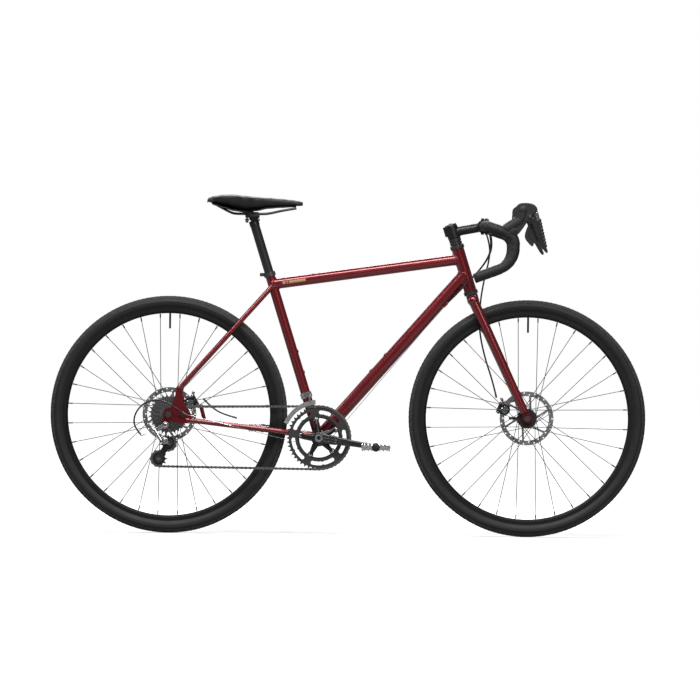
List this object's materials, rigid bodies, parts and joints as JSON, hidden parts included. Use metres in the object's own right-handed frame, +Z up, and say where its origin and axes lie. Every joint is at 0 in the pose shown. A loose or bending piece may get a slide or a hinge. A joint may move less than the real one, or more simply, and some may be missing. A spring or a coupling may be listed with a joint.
{
  "type": "road bicycle",
  "caption": "Drop-bar road bicycle with steel diamond frame, disc brakes, spoked wheels and a two-ring derailleur drive.",
  "frame": {"origin": "on the ground, midway between the axles, in the frame's middle plane", "axes": "+X forward, +Y to the rider's left, +Z up; the transmission is on the right, at negative Y"},
  "size_m": [1.762, 0.444, 1.0039],
  "materials": {
    "frame_paint": "gloss metallic",
    "black_metal": "satin black anodised",
    "silver_metal": "satin",
    "steel": "brushed",
    "rubber_tyre": "matte tread",
    "rim_black": "gloss black",
    "tape": "matte wrapped",
    "saddle_skin": "matte synthetic leather",
    "plastic_black": "matte",
    "hood_rubber": "matte rubber",
    "chain_steel": "oiled",
    "rotor_steel": "brushed",
    "housing": "satin"
  },
  "bodies": {
    "frame": {"head_tube": "frame_paint", "top_tube": "frame_paint", "down_tube": "frame_paint", "seat_tube": "frame_paint", "bottom_bracket_shell": "frame_paint", "bottle_bosses": "frame_paint", "chain_stays": "frame_paint", "seat_stays": "frame_paint", "dropouts": "frame_paint", "bearing_cups": "black_metal", "seat_collar": "black_metal", "rear_caliper": "black_metal", "rear_axle": "black_metal", "front_derailleur": "silver_metal", "cable_housings": "housing", "steering_housings": "housing", "chain": "chain_steel"},
    "seat": {"seatpost": "black_metal", "saddle_base": "plastic_black", "saddle_cover": "saddle_skin"},
    "fork": {"fork_crown": "frame_paint", "fork_blades": "frame_paint", "headset_spacers": "black_metal", "stem": "black_metal", "handlebar": "black_metal", "bar_tape": "tape", "lever_hoods": "hood_rubber", "front_caliper": "black_metal", "front_axle": "black_metal", "fork_housing": "housing"},
    "front_wheel": {"front_rim": "rim_black", "front_tyre": "rubber_tyre", "front_spokes": "steel", "front_hub": "black_metal", "front_rotor": "rotor_steel"},
    "rear_wheel": {"rear_rim": "rim_black", "rear_tyre": "rubber_tyre", "rear_spokes": "steel", "rear_hub": "black_metal", "rear_rotor": "rotor_steel"},
    "cassette": {"cassette": "black_metal"},
    "crank": {"crank_arms": "black_metal", "chainrings": "black_metal"},
    "pedal_right": {"pedal_right": "silver_metal"},
    "pedal_left": {"pedal_left": "silver_metal"},
    "brake_lever_left": {"brake_lever_left": "black_metal"},
    "brake_lever_right": {"brake_lever_right": "black_metal"},
    "shift_paddle_left": {"shift_paddle_left": "plastic_black"},
    "shift_paddle_right": {"shift_paddle_right": "plastic_black"},
    "front_caliper_arm": {"front_caliper_arm": "silver_metal"},
    "rear_caliper_arm": {"rear_caliper_arm": "silver_metal"},
    "front_qr_lever": {"front_qr_lever": "black_metal"},
    "rear_qr_lever": {"rear_qr_lever": "black_metal"},
    "derailleur_knuckle": {"derailleur_knuckle": "silver_metal"},
    "derailleur_link": {"derailleur_link": "silver_metal"},
    "derailleur_lower_knuckle": {"derailleur_lower_knuckle": "silver_metal"},
    "derailleur_cage": {"derailleur_cage": "black_metal"},
    "guide_pulley": {"guide_pulley": "plastic_black"},
    "tension_pulley": {"tension_pulley": "plastic_black"},
    "front_derailleur_cage": {"front_derailleur_cage": "silver_metal"}
  },
  "joints": [
    {"name": "seatpost_height", "type": "slide", "parent": "frame", "child": "seat", "axis": [-0.3007, 0, 0.9537], "range_m": [-0.07, 0.05]},
    {"name": "steering", "type": "hinge", "parent": "frame", "child": "fork", "pos_m": [0.33497, 0, 0.8], "axis": [-0.3007, 0, 0.9537], "range_deg": [-60, 60], "deforming": ["steering_housings"]},
    {"name": "front_wheel_spin", "type": "hinge", "parent": "fork", "child": "front_wheel", "pos_m": [0.53, 0, 0.351], "axis": [0, 1, 0], "continuous": true},
    {"name": "rear_wheel_spin", "type": "hinge", "parent": "frame", "child": "rear_wheel", "pos_m": [-0.53, 0, 0.351], "axis": [0, 1, 0], "continuous": true},
    {"name": "crank_spin", "type": "hinge", "parent": "frame", "child": "crank", "pos_m": [-0.085, 0, 0.287], "axis": [0, 1, 0], "continuous": true, "deforming": ["chain"]},
    {"name": "cassette_spin", "type": "hinge", "parent": "frame", "child": "cassette", "pos_m": [-0.53, 0, 0.351], "axis": [0, 1, 0], "continuous": true},
    {"name": "pedal_right_spin", "type": "hinge", "parent": "crank", "child": "pedal_right", "pos_m": [0.08313, 0, 0.26187], "axis": [0, 1, 0], "continuous": true},
    {"name": "pedal_left_spin", "type": "hinge", "parent": "crank", "child": "pedal_left", "pos_m": [-0.25313, 0, 0.31213], "axis": [0, 1, 0], "continuous": true},
    {"name": "brake_lever_left_pull", "type": "hinge", "parent": "fork", "child": "brake_lever_left", "pos_m": [0.53, 0.205, 0.948], "axis": [0, 1, 0], "range_deg": [0, 20], "stiffness_Nm_per_rad": 1.5, "springref_deg": -8.59},
    {"name": "shift_paddle_left_push", "type": "hinge", "parent": "brake_lever_left", "child": "shift_paddle_left", "pos_m": [0.534, 0.195, 0.926], "axis": [-0.4022, 0, 0.9156], "range_deg": [0, 12], "stiffness_Nm_per_rad": 0.15, "springref_deg": -5.73},
    {"name": "brake_lever_right_pull", "type": "hinge", "parent": "fork", "child": "brake_lever_right", "pos_m": [0.53, -0.205, 0.948], "axis": [0, 1, 0], "range_deg": [0, 20], "stiffness_Nm_per_rad": 1.5, "springref_deg": -8.59},
    {"name": "shift_paddle_right_push", "type": "hinge", "parent": "brake_lever_right", "child": "shift_paddle_right", "pos_m": [0.534, -0.195, 0.926], "axis": [0.4022, 0, -0.9156], "range_deg": [0, 12], "stiffness_Nm_per_rad": 0.15, "springref_deg": -5.73},
    {"name": "rear_brake_arm", "type": "hinge", "parent": "frame", "child": "rear_caliper_arm", "pos_m": [-0.46872, 0.0657, 0.38483], "axis": [0, 1, 0], "range_deg": [0, 25]},
    {"name": "front_brake_arm", "type": "hinge", "parent": "fork", "child": "front_caliper_arm", "pos_m": [0.46483, 0.053, 0.37654], "axis": [0, 1, 0], "range_deg": [-25, 0]},
    {"name": "front_qr_open", "type": "hinge", "parent": "fork", "child": "front_qr_lever", "pos_m": [0.53, 0.0635, 0.351], "axis": [0, 0, -1], "range_deg": [0, 180]},
    {"name": "rear_qr_open", "type": "hinge", "parent": "frame", "child": "rear_qr_lever", "pos_m": [-0.53, 0.081, 0.351], "axis": [0, 0, -1], "range_deg": [0, 180]},
    {"name": "derailleur_swing", "type": "hinge", "parent": "frame", "child": "derailleur_knuckle", "pos_m": [-0.5385, 0, 0.3195], "axis": [0, 1, 0], "range_deg": [-5, 12], "stiffness_Nm_per_rad": 1},
    {"name": "derailleur_shift", "type": "hinge", "parent": "derailleur_knuckle", "child": "derailleur_link", "pos_m": [-0.56, -0.08, 0.308], "axis": [0.8729, 0.2182, 0.4364], "range_deg": [0, 48], "stiffness_Nm_per_rad": 0.6, "springref_deg": -11.46},
    {"name": "derailleur_parallel", "type": "hinge", "parent": "derailleur_link", "child": "derailleur_lower_knuckle", "pos_m": [-0.54, -0.096, 0.276], "axis": [0.8729, 0.2182, 0.4364], "range_deg": [-48, 0]},
    {"name": "derailleur_cage_swing", "type": "hinge", "parent": "derailleur_lower_knuckle", "child": "derailleur_cage", "pos_m": [-0.54, 0, 0.2736], "axis": [0, 1, 0], "range_deg": [-50, 10], "stiffness_Nm_per_rad": 0.6},
    {"name": "guide_pulley_spin", "type": "hinge", "parent": "derailleur_cage", "child": "guide_pulley", "pos_m": [-0.529, 0, 0.2666], "axis": [0, 1, 0], "continuous": true},
    {"name": "tension_pulley_spin", "type": "hinge", "parent": "derailleur_cage", "child": "tension_pulley", "pos_m": [-0.55667, 0, 0.22023], "axis": [0, 1, 0], "continuous": true},
    {"name": "front_derailleur_shift", "type": "hinge", "parent": "frame", "child": "front_derailleur_cage", "pos_m": [-0.12441, -0.04, 0.412], "axis": [1, 0, 0], "range_deg": [0, 10], "stiffness_Nm_per_rad": 0.5, "springref_deg": -5.73}
  ],
  "couplings": [
    {"joint": "cassette_spin", "follows": "crank_spin", "ratio": 4.1818},
    {"joint": "guide_pulley_spin", "follows": "crank_spin", "ratio": -4.1818},
    {"joint": "tension_pulley_spin", "follows": "crank_spin", "ratio": 4.1818},
    {"joint": "front_brake_arm", "follows": "brake_lever_left_pull", "ratio": -1.25},
    {"joint": "rear_brake_arm", "follows": "brake_lever_right_pull", "ratio": 1.25},
    {"joint": "derailleur_parallel", "follows": "derailleur_shift", "ratio": -1}
  ]
}
